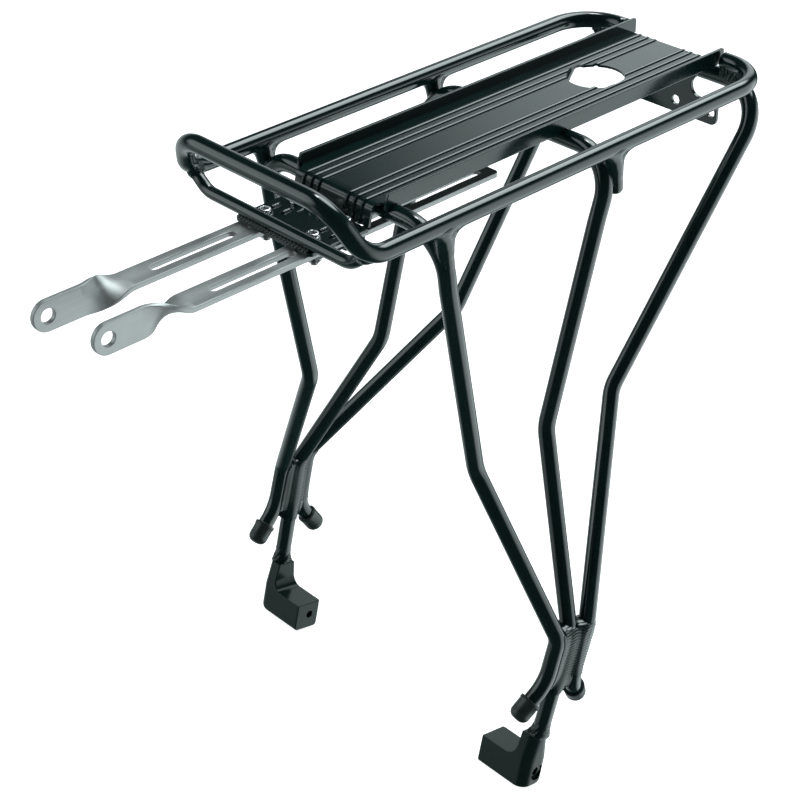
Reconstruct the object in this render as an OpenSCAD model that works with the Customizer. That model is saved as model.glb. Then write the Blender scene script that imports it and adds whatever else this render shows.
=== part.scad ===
// Rear rack for a bicycle: a bent rail loop on three inverted-U leg tubes,
// a ribbed sheet deck, and two slotted stay arms that slide in the front bracket.
// Origin: midway between the two foot holes, on their common axis.
// +X towards the rear of the bicycle, +Y to its right, +Z up. Millimetres.

/* [Tubes] */
// Outside diameter of the main tubes
tube_d = 10; // [8:0.5:12]
// Wall thickness of the main tubes
tube_wall = 0.8; // [0.6:0.1:1.5]
// Outside diameter of the front cross tube
cross_d = 7; // [5:0.5:9]

/* [Top frame] */
// Distance from the middle to each rail's centre line
rail_y = 71; // [60:1:80]
// Height of the rails' centre line above the foot holes
rail_z = 357; // [340:1:380]
// Distance from the foot holes back to the rear bar
rear_x = 237; // [220:1:260]
// Distance from the foot holes to the raised front crossbar, negative is forward
hoop_x = -90.5; // [-110:0.5:-85]
// Height of the raised front crossbar
hoop_z = 384; // [370:1:400]

/* [Deck] */
// Sheet thickness of the deck
deck_t = 1.5; // [1:0.1:2]
// Half width of the deck's floor between the side flanges
deck_half = 33; // [25:1:40]
// Height of the deck's side flanges
flange_h = 9.3; // [6:0.1:14]
// Diameter of the round hole through the deck
deck_hole_d = 34; // [20:1:44]

/* [Feet] */
// Diameter of the mounting hole through each foot
foot_hole_d = 5.2; // [5:0.1:6.5]
// Depth of each foot's block from front to back
foot_w = 18.7; // [14:0.1:22]
// Height of each foot's block
foot_h = 18.9; // [14:0.1:22]
// Distance from the middle to each foot's inner face
foot_in = 84.5; // [60:0.5:95]
// Lean of the feet towards the rear, in degrees
foot_lean = 14; // [0:1:20]

/* [Stay arms] */
// Width of the arm strip
arm_w = 17.2; // [14:0.2:20]
// Thickness of the arm strip
arm_t = 3; // [2:0.1:4]
// Width of the arm slots
slot_w = 5.6; // [5.3:0.1:7]
// Distance from the middle to each arm's centre line
arm_y = 19; // [15:0.5:24]
// Diameter of the hole in each arm's tip
tip_hole_d = 8; // [5:0.5:9]
// How far the left arm is pushed in from the middle setting
left_in = 4; // [0:1:4]
// How far the right arm is pulled out from the middle setting
right_out = 4; // [0:1:20]

/* [Hidden] */
$fn = 72;
gap = 0.08;
lap = 0.3;
swell = 0.03;
ro = tube_d / 2;
ri = ro - tube_wall;
bar_z = rail_z - 6.6;
rear_z = rail_z - tube_d - 0.1;
front_x = -27;
mid_x = 102.5;
cross_x = -77;
floor_z = rail_z - deck_t;
plate_top = 344.9;
plate_t = 2.2;
cross_z = plate_top + cross_d / 2 + gap;
arm_z = plate_top - plate_t - 0.3 - arm_t / 2;
bolt_x = [-69.2, -47];
bolt_r = 2.45;
head_r = 4;
rib_y = [11, 16.8, 22.8];
skirt_half = 29.7;
bend_in = 2.5;
bend_x = -34.7;
bend_angle = 75;
foot_out = 122;
foot_fore = -11;
foot_low = -10.2;
foot_top = foot_low + foot_h;
foot_round = 6.5;
upright_in = 110.5;
upright_h = 26;
frame_col = [0.05, 0.06, 0.06];
steel_col = [0.62, 0.64, 0.64];
cap_col = [0.09, 0.12, 0.12];

// Half paths start beside the middle plane and run outwards and down
rail_half = [[hoop_x, 56, hoop_z], [-79, rail_y - 0.5, rail_z], [rear_x, rail_y, rail_z], [rear_x, 38, rail_z]];
rail_bend = [22, 18, 28];
cross_half = [[cross_x, 56, cross_z], [cross_x, 69, rail_z + 1]];
cross_bend = [14];
front_half = [
    [front_x, 70, bar_z], [-22.8, 70, 316], [-1.4, 69.8, 194],
    [14.3, 121.5, 94], [5.6, 121, 66], [-14, 118, 51]
];
front_bend = [25, 60, 24, 12, 30];
mid_half = [[mid_x, 70.5, bar_z], [90.5, 70.5, 316], [56, 69.4, 196], [25.4, 120, 93], [6.2, 117.7, 26.5]];
mid_bend = [25, 60, 24, 24];
rear_half = [
    [rear_x, rail_y, rear_z], [117, 65.8, 194], [36.6, 123.5, 94],
    [28.2, 122.3, 66], [27.9, 122.1, 54], [36.75, 117.5, 38.1]
];
rear_bend = [28, 24, 20, 30, 20];

function unit(v) = v / norm(v);
function turn(a, b, c) = acos(unit(b - a) * unit(c - b));
function trim(p, r, i) =
    i == 0 || i == len(p) - 1 ? 0 : r[i - 1] * tan(turn(p[i - 1], p[i], p[i + 1]) / 2);
function square_to(v) = abs(v[2]) < 0.9 ? unit(cross([0, 0, 1], v)) : unit(cross([1, 0, 0], v));
function flip(p) = [for (q = p) [q[0], -q[1], q[2]]];
function back(p) = [for (i = [len(p) - 1:-1:0]) p[i]];
function whole(p) = concat(back(flip(p)), p);
function bends(r) = concat(back(r), r);

// Puts its child with local X along ex, local Z along ez and the origin at o
module place(o, ex, ez) {
    ey = cross(ez, ex);
    multmatrix([
        [ex[0], ey[0], ez[0], o[0]],
        [ex[1], ey[1], ez[1], o[1]],
        [ex[2], ey[2], ez[2], o[2]],
        [0, 0, 0, 1]
    ])
        children();
}

module ring(outer, inner) {
    difference() {
        circle(r = outer);
        if (inner > 0) circle(r = inner);
    }
}

// Round tube through the points p, with bend radii r at the inner points.
// Each straight runs a little way into its bends, and a bend is a hair thicker.
module tube(p, r, outer, inner = 0) {
    last = len(p) - 1;
    for (i = [0:last - 1]) {
        d = unit(p[i + 1] - p[i]);
        a = i == 0 ? 0 : trim(p, r, i) - lap;
        b = i == last - 1 ? 0 : trim(p, r, i + 1) - lap;
        place(p[i] + a * d, square_to(d), d)
            linear_extrude(height = norm(p[i + 1] - p[i]) - a - b)
                ring(outer, inner);
    }
    for (i = [1:1:last - 1]) {
        u = unit(p[i] - p[i - 1]);
        v = unit(p[i + 1] - p[i]);
        k = turn(p[i - 1], p[i], p[i + 1]);
        c = p[i] + unit(v - u) * r[i - 1] / cos(k / 2);
        s = unit(p[i] - trim(p, r, i) * u - c);
        place(c, s, cross(s, u))
            rotate_extrude(angle = k)
                translate([r[i - 1], 0])
                    ring(outer + swell, inner > 0 ? inner - swell : 0);
    }
}

// Straight rod with flat ends from a to b
module rod(a, b, r) {
    d = unit(b - a);
    place(a, square_to(d), d)
        cylinder(r = r, h = norm(b - a));
}

// Straight bead with round ends from a to b
module bead(a, b, r) {
    rod(a, b, r);
    translate(a)
        sphere(r = r);
    translate(b)
        sphere(r = r);
}

module bolt_spots(side) {
    for (x = bolt_x)
        translate([x, side * arm_y, 0])
            children();
}

module rail_loop() {
    color(frame_col)
        tube(whole(rail_half), bends(rail_bend), ro, ri);
}

module front_cross_tube() {
    color(frame_col)
        difference() {
            tube(whole(cross_half), bends(cross_bend), cross_d / 2, cross_d / 2 - tube_wall);
            tube(whole(rail_half), bends(rail_bend), ro + gap);
        }
}

module front_leg_tube() {
    color(frame_col)
        tube(whole(front_half), bends(front_bend), ro, ri);
}

module middle_leg_tube() {
    color(frame_col)
        tube(whole(mid_half), bends(mid_bend), ro, ri);
}

module rear_leg_tube() {
    color(frame_col)
        tube(whole(rear_half), bends(rear_bend), ro, ri);
}

// Cross-section of the deck sheet: width along X, height above its underside along Y
module deck_section(half, slim = 0) {
    intersection() {
        union() {
            translate([-half, 0])
                square([2 * half, deck_t - slim]);
            for (side = [-1, 1], y = rib_y)
                translate([side * y, deck_t - 0.3])
                    circle(r = 1.3 - slim);
        }
        translate([slim - half, slim])
            square([2 * (half - slim), deck_t + 3]);
    }
}

module deck_flange() {
    low = floor_z - 2;
    top = low + flange_h;
    difference() {
        union() {
            translate([-33, low])
                square([272.5, flange_h]);
            translate([-33, low])
                square([274, flange_h - 1.5]);
            translate([239.5, top - 1.5])
                circle(r = 1.5);
        }
        polygon([[-34, top - 5], [-34, top + 1], [-31, top + 1]]);
        for (x = [front_x, mid_x])
            translate([x, bar_z])
                circle(r = ro + 0.2);
    }
}

module deck() {
    out = [-sin(bend_angle), 0, cos(bend_angle)];
    down = [-cos(bend_angle), 0, -sin(bend_angle)];
    pivot = [bend_x, 0, floor_z - bend_in];
    color(frame_col)
        difference() {
            union() {
                translate([bend_x, 0, floor_z])
                    rotate([90, 0, 90])
                        linear_extrude(height = 233 - bend_x)
                            deck_section(deck_half);
                place(pivot, [0, 0, 1], [0, -1, 0])
                    rotate_extrude(angle = bend_angle)
                        translate([bend_in, 0])
                            rotate(-90)
                                deck_section(skirt_half);
                place(pivot + bend_in * out - 0.2 * down, [0, -1, 0], down)
                    linear_extrude(height = 9.4)
                        deck_section(skirt_half, 0.03);
                for (side = [-1, 1])
                    translate([0, side * (deck_half + 1), 0])
                        rotate([90, 0, 0])
                            linear_extrude(height = 2, center = true)
                                deck_flange();
            }
            translate([166, 0, floor_z - 1])
                cylinder(d = deck_hole_d, h = deck_t + 4);
        }
}

module stay_bracket() {
    color(frame_col)
        translate([0, 0, plate_top - plate_t])
            linear_extrude(height = plate_t)
                difference() {
                    union() {
                        translate([-81, -27])
                            square([39.8, 54]);
                        translate([-78, -30])
                            square([36.8, 60]);
                        for (side = [-1, 1])
                            translate([-78, side * 27])
                                circle(r = 3);
                    }
                    for (side = [-1, 1])
                        bolt_spots(side)
                            circle(r = bolt_r + 0.15);
                }
}

module light_bracket() {
    color(frame_col)
        translate([rear_x + ro + gap, 0, 0])
            rotate([90, 0, 90])
                linear_extrude(height = 2.5)
                    difference() {
                        union() {
                            translate([-28, 310.5])
                                square([56, 15]);
                            translate([-32, 314.5])
                                square([64, 7]);
                            for (y = [-28, 28], z = [314.5, 321.5])
                                translate([y, z])
                                    circle(r = 4);
                            translate([-17.8, 324])
                                square([35.6, 8]);
                            translate([-14, 331])
                                square([28, 18]);
                        }
                        for (side = [-1, 1])
                            translate([side * 17.8, 332])
                                circle(r = 6.5);
                        for (y = [-27.4, 0, 27.4])
                            translate([y, 318.5])
                                circle(r = 3);
                    }
}

// Outline of a foot seen along the bicycle: block, hollow fillet and upright
module foot_side() {
    difference() {
        union() {
            translate([foot_in, foot_low])
                square([foot_out - foot_in, foot_h]);
            translate([upright_in, foot_low])
                square([foot_out - upright_in, upright_h - foot_low]);
            translate([upright_in - 7, foot_top - 1])
                square([8, 8]);
        }
        translate([upright_in - 7, foot_top + 7])
            circle(r = 7);
        translate([foot_out - 4, foot_low - 1])
            square([5, 5]);
    }
    translate([foot_out - 4, foot_low + 4])
        circle(r = 4);
}

// Outline of a foot seen from the side of the bicycle, tapering upwards
module foot_front() {
    r = 2.5;
    aft = foot_fore + foot_w;
    polygon([
        [foot_fore + r, foot_low], [aft - r, foot_low], [aft, foot_low + r], [aft, foot_top],
        [4.8, upright_h], [-8.2, upright_h], [foot_fore, foot_top], [foot_fore, foot_low + r]
    ]);
    for (x = [foot_fore + r, aft - r])
        translate([x, foot_low + r])
            circle(r = r);
}

// What a rounded upright edge leaves out of a square corner
module corner_cut(h) {
    linear_extrude(height = h)
        difference() {
            square([foot_round + 2, foot_round + 2]);
            circle(r = foot_round);
        }
}

// Both outer edges of a foot, upright along the block and leaning along the taper
module foot_edges() {
    mid = foot_fore + foot_w / 2;
    rise = upright_h - foot_top;
    for (m = [0, 1])
        translate([mid, foot_out - foot_round, 0])
            mirror([m, 0, 0])
                translate([foot_w / 2 - foot_round, 0, 0]) {
                    translate([0, 0, foot_low - 1])
                        corner_cut(foot_h + 1);
                    translate([0, 0, foot_top])
                        rotate([0, -atan((foot_w / 2 - foot_round) / rise), 0])
                            translate([0, 0, -0.6])
                                corner_cut(rise + 4);
                }
}

// Solid foot with its bolt bore and the recess round it
module foot(side) {
    color(frame_col)
        mirror([0, side < 0 ? 1 : 0, 0])
            rotate([0, foot_lean, 0])
                difference() {
                    intersection() {
                        translate([foot_fore - 1, 0, 0])
                            rotate([90, 0, 90])
                                linear_extrude(height = foot_w + 2)
                                    foot_side();
                        translate([0, foot_out + 1, 0])
                            rotate([90, 0, 0])
                                linear_extrude(height = foot_out - foot_in + 2)
                                    foot_front();
                    }
                    translate([0, foot_in - 1, 0])
                        rotate([-90, 0, 0])
                            cylinder(d = foot_hole_d, h = foot_out - foot_in + 2);
                    translate([0, foot_out - 2, 0])
                        rotate([-90, 0, 0])
                            cylinder(r = 5.2, h = 3);
                    foot_edges();
                }
}

module left_foot() {
    foot(-1);
}

module right_foot() {
    foot(1);
}

// Rounded cap over the end of a tube that ends at b and comes from a
module cap(a, b, depth, lip) {
    d = unit(b - a);
    r = ro + 1.25;
    color(cap_col)
        place(b - depth * d, square_to(d), d)
            rotate_extrude()
                difference() {
                    union() {
                        square([r, depth - 2.5]);
                        square([r - 4.5, depth + 2]);
                        translate([r - 4.5, depth - 2.5])
                            intersection() {
                                circle(r = 4.5);
                                square([5, 5]);
                            }
                        square([r + lip, 2.2]);
                    }
                    translate([0, -1])
                        square([ro + gap, depth + 1 + gap]);
                }
}

module left_front_cap() {
    p = flip(front_half);
    cap(p[4], p[5], 12, 0.4);
}

module right_front_cap() {
    cap(front_half[4], front_half[5], 12, 0.4);
}

module left_rear_cap() {
    p = flip(rear_half);
    cap(p[4], p[5], 12, 0.25);
}

module right_rear_cap() {
    cap(rear_half[4], rear_half[5], 12, 0.25);
}

module slot(x0, x1) {
    r = slot_w / 2;
    translate([x0 + r, -r])
        square([x1 - x0 - slot_w, slot_w]);
    for (x = [x0 + r, x1 - r])
        translate([x, 0])
            circle(r = r);
}

// Slotted strip, a quarter twist, and an upright round-ended tip with a hole
module stay_arm(side, shift) {
    half = arm_w / 2;
    color(steel_col)
        translate([shift, side * arm_y, arm_z]) {
            linear_extrude(height = arm_t, center = true)
                difference() {
                    union() {
                        translate([-155, -half])
                            square([206, arm_w]);
                        translate([51, 3 - half])
                            square([3, arm_w - 6]);
                        for (y = [3 - half, half - 3])
                            translate([51, y])
                                circle(r = 3);
                    }
                    slot(-140.5, -85.5);
                    slot(-77, 47);
                }
            translate([-155, 0, 0])
                rotate([0, -90, 0])
                    linear_extrude(height = 27, twist = side * 90, slices = 20, $fn = 8)
                        square([arm_t, arm_w], center = true);
            rotate([90, 0, 0])
                linear_extrude(height = arm_t, center = true)
                    difference() {
                        union() {
                            translate([-202, -half])
                                square([20, arm_w]);
                            translate([-202, 0])
                                circle(r = half);
                        }
                        translate([-202, 0])
                            circle(d = tip_hole_d);
                    }
        }
}

module left_stay_arm() {
    stay_arm(-1, left_in);
}

module right_stay_arm() {
    stay_arm(1, -right_out);
}

module stay_bolts(side) {
    color(steel_col)
        bolt_spots(side) {
            translate([0, 0, 331])
                cylinder(r = bolt_r, h = 15.5);
            difference() {
                translate([0, 0, plate_top + 1 + 2 * gap])
                    cylinder(r = head_r, h = 3.2);
                translate([0, 0, plate_top + 2.6])
                    cylinder(r = 2.3, h = 4, $fn = 6);
            }
        }
}

module stay_washers(side) {
    color(steel_col)
        bolt_spots(side)
            translate([0, 0, plate_top + gap])
                linear_extrude(height = 1)
                    ring(4.2, bolt_r + 0.1);
}

module clamp_plate(side) {
    color(frame_col)
        translate([0, side * arm_y, arm_z - arm_t / 2 - 0.3 - 1.6])
            linear_extrude(height = 1.6)
                difference() {
                    translate([-76, -8])
                        square([36, 16]);
                    for (x = bolt_x)
                        translate([x, 0])
                            circle(r = bolt_r + 0.1);
                }
}

module stay_nuts(side) {
    color(steel_col)
        bolt_spots(side)
            translate([0, 0, arm_z - arm_t / 2 - 1.9 - gap - 4])
                linear_extrude(height = 4)
                    difference() {
                        circle(r = 4.6, $fn = 6);
                        circle(r = bolt_r + 0.05);
                    }
}

module left_stay_bolts() {
    stay_bolts(-1);
}

module right_stay_bolts() {
    stay_bolts(1);
}

module left_stay_washers() {
    stay_washers(-1);
}

module right_stay_washers() {
    stay_washers(1);
}

module left_clamp_plate() {
    clamp_plate(-1);
}

module right_clamp_plate() {
    clamp_plate(1);
}

module left_stay_nuts() {
    stay_nuts(-1);
}

module right_stay_nuts() {
    stay_nuts(1);
}

// The last n points of a path
function tail(p, n) = [for (i = [len(p) - n:len(p) - 1]) p[i]];

// The legs of one side where they meet, solid and slightly oversize, to fit welds against
module leg_cut() {
    tube(tail(front_half, 4), tail(front_bend, 2), ro + gap);
    tube(tail(mid_half, 3), tail(mid_bend, 1), ro + gap);
    tube(tail(rear_half, 5), tail(rear_bend, 3), ro + gap);
}

// Beads in the valleys between the middle strut and the tubes before and behind it
module leg_welds() {
    for (y = [-3.3, 3.3]) {
        rod([18, 120.6 + y, 88], [12.2, 120 + y, 69], 2.2);
        rod([28.8, 121.5 + y, 86], [23.2, 120.6 + y, 67], 2.2);
    }
}

module side_welds(side) {
    color(frame_col)
        mirror([0, side < 0 ? 1 : 0, 0])
            difference() {
                leg_welds();
                leg_cut();
            }
}

module left_leg_welds() {
    side_welds(-1);
}

module right_leg_welds() {
    side_welds(1);
}

// Ring bead where the strut stands on the foot
module foot_weld(side) {
    a = mid_half[3];
    b = mid_half[4];
    d = unit(b - a);
    color(frame_col)
        mirror([0, side < 0 ? 1 : 0, 0])
            place(b - 1.6 * d, square_to(d), d)
                difference() {
                    rotate_extrude()
                        translate([ro + 0.2, 0])
                            circle(r = 1.5);
                    translate([0, 0, -4])
                        cylinder(r = ro + gap, h = 8);
                }
}

module left_foot_weld() {
    foot_weld(-1);
}

module right_foot_weld() {
    foot_weld(1);
}

// Waisted saddle that joins a leg's corner to the rail above it
module saddle(x) {
    dy = rail_y - 45;
    dz = rail_z - (bar_z - 25);
    d = unit([0, dy, dz]);
    place([x, 45, bar_z - 25] + 28 * d, [1, 0, 0], d)
        rotate_extrude()
            difference() {
                square([6, 9]);
                translate([8.2, 4.5])
                    circle(r = 4.2);
            }
}

module rail_welds(side) {
    color(frame_col)
        mirror([0, side < 0 ? 1 : 0, 0])
            difference() {
                union() {
                    saddle(front_x);
                    saddle(mid_x);
                    for (x = [-3.2, 3.2])
                        bead([rear_x + x, 40, (rail_z + rear_z) / 2], [rear_x + x, 50, (rail_z + rear_z) / 2], 1.9);
                }
                tube(rail_half, [rail_bend[1], rail_bend[2]], ro + gap);
                tube(concat([[front_x, 0, bar_z]], front_half), front_bend, ro + gap);
                tube(concat([[mid_x, 0, bar_z]], mid_half), mid_bend, ro + gap);
                tube(concat([[rear_x, 0, rear_z]], rear_half), rear_bend, ro + gap);
            }
}

module left_rail_welds() {
    rail_welds(-1);
}

module right_rail_welds() {
    rail_welds(1);
}

// Bead that joins the cross tube to the front bracket
module front_welds() {
    color(frame_col)
        difference() {
            for (x = [cross_x - 2.6, cross_x + 2.6])
                bead([x, -26, plate_top + 0.9], [x, 26, plate_top + 0.9], 1.3);
            tube(whole(cross_half), bends(cross_bend), cross_d / 2 + gap);
            translate([-90, -40, plate_top - 5])
                cube([60, 80, 5 + gap]);
            for (side = [-1, 1])
                translate([bolt_x[0], side * arm_y, plate_top - 1])
                    cylinder(r = 4.6, h = 4);
        }
}

// Beads that join the deck to the bars below it
module deck_welds() {
    color(frame_col)
        difference() {
            for (x = [front_x, mid_x], side = [-1, 1])
                bead([x + 3.4, side * 10, floor_z - 1.2], [x + 3.4, side * 26, floor_z - 1.2], 1.4);
            for (x = [front_x, mid_x])
                translate([x, 0, bar_z])
                    rotate([90, 0, 0])
                        cylinder(r = ro + gap, h = 80, center = true);
            translate([-60, -40, floor_z - gap])
                cube([200, 80, 5]);
        }
}

module light_bracket_weld() {
    color(frame_col)
        difference() {
            bead([rear_x + ro - 0.5, -11, rear_z - 3.6], [rear_x + ro - 0.5, 11, rear_z - 3.6], 1.5);
            translate([rear_x, 0, rear_z])
                rotate([90, 0, 0])
                    cylinder(r = ro + gap, h = 80, center = true);
            translate([rear_x + ro, -20, rear_z - 20])
                cube([5, 40, 40]);
        }
}

rail_loop();
front_cross_tube();
front_leg_tube();
middle_leg_tube();
rear_leg_tube();
deck();
stay_bracket();
light_bracket();
left_foot();
right_foot();
left_front_cap();
right_front_cap();
left_rear_cap();
right_rear_cap();
left_stay_arm();
right_stay_arm();
left_stay_bolts();
right_stay_bolts();
left_stay_washers();
right_stay_washers();
left_clamp_plate();
right_clamp_plate();
left_stay_nuts();
right_stay_nuts();
left_leg_welds();
right_leg_welds();
left_foot_weld();
right_foot_weld();
left_rail_welds();
right_rail_welds();
front_welds();
deck_welds();
light_bracket_weld();
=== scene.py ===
import math

import bmesh
import bpy
import numpy as np
from mathutils import Matrix, Vector


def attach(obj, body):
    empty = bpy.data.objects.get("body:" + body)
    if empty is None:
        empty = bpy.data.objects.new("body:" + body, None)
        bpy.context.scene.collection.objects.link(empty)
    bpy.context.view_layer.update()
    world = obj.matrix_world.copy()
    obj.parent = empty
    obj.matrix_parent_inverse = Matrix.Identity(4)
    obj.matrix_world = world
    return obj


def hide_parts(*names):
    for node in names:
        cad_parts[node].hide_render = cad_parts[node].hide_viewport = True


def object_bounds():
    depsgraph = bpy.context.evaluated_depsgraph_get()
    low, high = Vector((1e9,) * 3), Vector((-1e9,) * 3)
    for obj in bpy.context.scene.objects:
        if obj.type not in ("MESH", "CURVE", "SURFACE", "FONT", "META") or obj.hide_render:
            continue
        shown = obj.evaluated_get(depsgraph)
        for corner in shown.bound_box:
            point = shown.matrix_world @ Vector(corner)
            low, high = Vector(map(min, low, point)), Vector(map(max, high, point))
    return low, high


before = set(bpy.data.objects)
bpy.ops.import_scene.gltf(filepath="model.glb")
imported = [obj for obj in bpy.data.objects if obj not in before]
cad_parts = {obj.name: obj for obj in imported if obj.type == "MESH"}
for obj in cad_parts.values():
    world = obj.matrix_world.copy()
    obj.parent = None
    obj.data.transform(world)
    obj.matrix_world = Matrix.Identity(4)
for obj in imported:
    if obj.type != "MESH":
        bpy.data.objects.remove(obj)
cad_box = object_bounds()
MM = 0.001

# ---------------------------------------------------------------- geometry of the rack, in millimetres
RAIL = [(-90.5, 56, 384), (-79, 70.5, 357), (237, 71, 357), (237, 38, 357)]
RAIL_R = [22, 18, 28]
CROSS = [(-77, 56, 348.48), (-77, 69, 358)]
CROSS_R = [14]
FRONT = [
    (-27, 70, 350.4), (-22.8, 70, 316), (-1.4, 69.8, 194),
    (14.3, 121.5, 94), (5.6, 121, 66), (-14, 118, 51),
]
FRONT_R = [25, 60, 24, 12, 30]
MID = [(102.5, 70.5, 350.4), (90.5, 70.5, 316), (56, 69.4, 196), (25.4, 120, 93), (6.2, 117.7, 26.5)]
MID_R = [25, 60, 24, 24]
REAR = [
    (237, 71, 346.9), (117, 65.8, 194), (36.6, 123.5, 94),
    (28.2, 122.3, 66), (27.9, 122.1, 54), (36.75, 117.5, 38.1),
]
REAR_R = [28, 24, 20, 30, 20]
TUBE_R, TUBE_BORE = 5.0, 4.2
CROSS_TUBE_R, CROSS_TUBE_BORE = 3.5, 2.7
BAR_Z = 350.4                       # axis of the two bars below the deck
BAR_X = {"front": -27, "middle": 102.5}
REAR_BAR = (237, 346.9)             # x and z of the rear bar's axis
CROSS_BAR = (-77, 348.48)           # x and z of the thin cross tube's axis
DECK_HALF, DECK_T, DECK_Z = 33, 1.5, 355.5
DECK_RIBS = (11, 16.8, 22.8)
PLATE_Z, PLATE_T = 343.8, 2.2       # bracket plate
LAMP_X, LAMP_T = 243.33, 2.5        # lamp bracket
BOLT_X = (-69.2, -47.0)
ARM_Y, ARM_Z = 19, 340.9
ARM_HALF, ARM_T, SLOT_W = 8.6, 3.0, 5.6
TWIST_FROM, TWIST_TO, TIP_X = -155, -182, -202
FOOT_LEAN = 14                      # degrees
FOOT_LOW, FOOT_BLOCK, FOOT_HIGH = -10.2, 8.7, 26.0
FOOT_IN, FOOT_OUT = 84.5, 122.0
WELD_Y = 127.6                      # weld beads are ground down beyond this distance from the middle
SIDES = {"left": -1, "right": 1}


def flip(points):
    """The same points on the other side of the rack."""
    return [(x, -y, z) for x, y, z in points]


def sided(points, s):
    """Points given for the right side, put on side s."""
    return points if s > 0 else flip(points)


def whole(points):
    """Both halves of a tube that is given from its middle outwards."""
    return flip(points)[::-1] + list(points)


def route(points, radii, turn_step=3.0, straight_step=6.0):
    """Points along the centre line of a tube with round bends."""
    p = [np.array(q, float) for q in points]
    out = []
    here = p[0]

    def straight(a, b):
        n = max(1, int(np.linalg.norm(b - a) / straight_step))
        return [a + (b - a) * i / n for i in range(n)]

    for i in range(1, len(p) - 1):
        u = (p[i] - p[i - 1]) / np.linalg.norm(p[i] - p[i - 1])
        v = (p[i + 1] - p[i]) / np.linalg.norm(p[i + 1] - p[i])
        turn = math.acos(max(-1, min(1, float(u @ v))))
        r = radii[i - 1]
        t = r * math.tan(turn / 2)
        start = p[i] - t * u
        out += straight(here, start)
        axis = (v - u) / np.linalg.norm(v - u)
        centre = p[i] + axis * r / math.cos(turn / 2)
        s = (start - centre) / r
        n = max(2, int(math.degrees(turn) / turn_step))
        out += [centre + r * (s * math.cos(turn * j / n) + u * math.sin(turn * j / n)) for j in range(n)]
        here = p[i] + t * v
    out += straight(here, p[-1]) + [p[-1]]
    return np.array(out)


def add(name, bm, body, slot, replaced=(), sharp=35):
    """Put a mesh in the scene as a visible piece of a body."""
    me = bpy.data.meshes.new(name)
    bm.to_mesh(me)
    bm.free()
    ob = bpy.data.objects.new(name, me)
    bpy.context.scene.collection.objects.link(ob)
    for poly in me.polygons:
        poly.use_smooth = True
    if sharp < 180:
        me.set_sharp_from_angle(angle=math.radians(sharp))
    me.materials.clear()
    me.materials.append(MATS[slot])
    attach(ob, body)
    if replaced:
        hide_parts(*replaced)
    return ob


# ---------------------------------------------------------------- materials
def new_material(name):
    m = bpy.data.materials.new(name)
    m.use_nodes = True
    m.node_tree.nodes.clear()
    return m, m.node_tree.nodes, m.node_tree.links


def noise(n, l, coords, scale, detail=4.0, rough=0.5):
    t = n.new("ShaderNodeTexNoise")
    t.inputs["Scale"].default_value = scale
    t.inputs["Detail"].default_value = detail
    t.inputs["Roughness"].default_value = rough
    l.new(coords, t.inputs["Vector"])
    return t.outputs["Fac"]


def ramp(n, l, fac, stops):
    r = n.new("ShaderNodeValToRGB")
    while len(r.color_ramp.elements) < len(stops):
        r.color_ramp.elements.new(0.5)
    for e, (pos, col) in zip(r.color_ramp.elements, stops):
        e.position = pos
        e.color = (*col, 1) if len(col) == 3 else (col[0], col[0], col[0], 1)
    l.new(fac, r.inputs["Fac"])
    return r.outputs["Color"]


def paint(name, dark, light, rough, orange, edge_wear_and_highlight, grain=900.0, shine=0.5):
    """Gloss paint: slight mottling, orange-peel bump, and lighter sharp edges that are partly worn thin film and
    partly a painted edge highlight.
    """
    m, n, l = new_material(name)
    out = n.new("ShaderNodeOutputMaterial")
    b = n.new("ShaderNodeBsdfPrincipled")
    geo = n.new("ShaderNodeNewGeometry")
    tc = n.new("ShaderNodeTexCoord")
    co = tc.outputs["Object"]
    broad = noise(n, l, co, 38.0, 3.0)
    fine = noise(n, l, co, grain, 3.0, 0.6)
    col = ramp(n, l, broad, [(0.32, dark), (0.7, light)])
    # painted highlight and wear: where the surface is sharply convex, the colour is mixed towards the lighter edge
    # colour
    edge = ramp(n, l, geo.outputs["Pointiness"], [(0.56, (0.0,)), (0.68, (1.0,))])
    worn_and_lit_edges = n.new("ShaderNodeMath")
    worn_and_lit_edges.operation = "MULTIPLY"
    l.new(edge, worn_and_lit_edges.inputs[0])
    l.new(noise(n, l, co, 260.0, 4.0), worn_and_lit_edges.inputs[1])
    mix = n.new("ShaderNodeMixRGB")
    l.new(worn_and_lit_edges.outputs[0], mix.inputs[0])
    l.new(col, mix.inputs[1])
    mix.inputs[2].default_value = (*edge_wear_and_highlight, 1)
    l.new(mix.outputs[0], b.inputs["Base Color"])
    rg = ramp(n, l, fine, [(0.25, (rough[0],)), (0.75, (rough[1],))])
    l.new(rg, b.inputs["Roughness"])
    bump = n.new("ShaderNodeBump")
    bump.inputs["Strength"].default_value = orange
    bump.inputs["Distance"].default_value = 0.0004
    l.new(fine, bump.inputs["Height"])
    l.new(bump.outputs[0], b.inputs["Normal"])
    b.inputs["Specular IOR Level"].default_value = shine
    l.new(b.outputs[0], out.inputs[0])
    return m


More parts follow.
